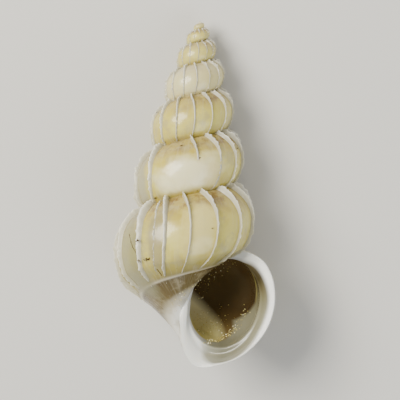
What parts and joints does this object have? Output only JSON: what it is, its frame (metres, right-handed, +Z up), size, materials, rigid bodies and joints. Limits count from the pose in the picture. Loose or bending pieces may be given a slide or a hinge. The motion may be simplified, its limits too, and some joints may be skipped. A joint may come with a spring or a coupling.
{
  "type": "wentletrap shell",
  "caption": "Tall coiled sea shell with rounded whorls crossed by thin raised ribs and a round thick-lipped mouth; lies on its back as a loose specimen.",
  "frame": {"origin": "on the surface the shell lies on, under the centre of its box", "axes": "+Y towards the apex along the shell's length, +Z up out of the mouth's side, +X towards the lip"},
  "size_m": [0.0156, 0.0312, 0.0131],
  "materials": {
    "shell": "satin, porcelain-like"
  },
  "bodies": {
    "root": {"shell": "shell"}
  },
  "joints": []
}
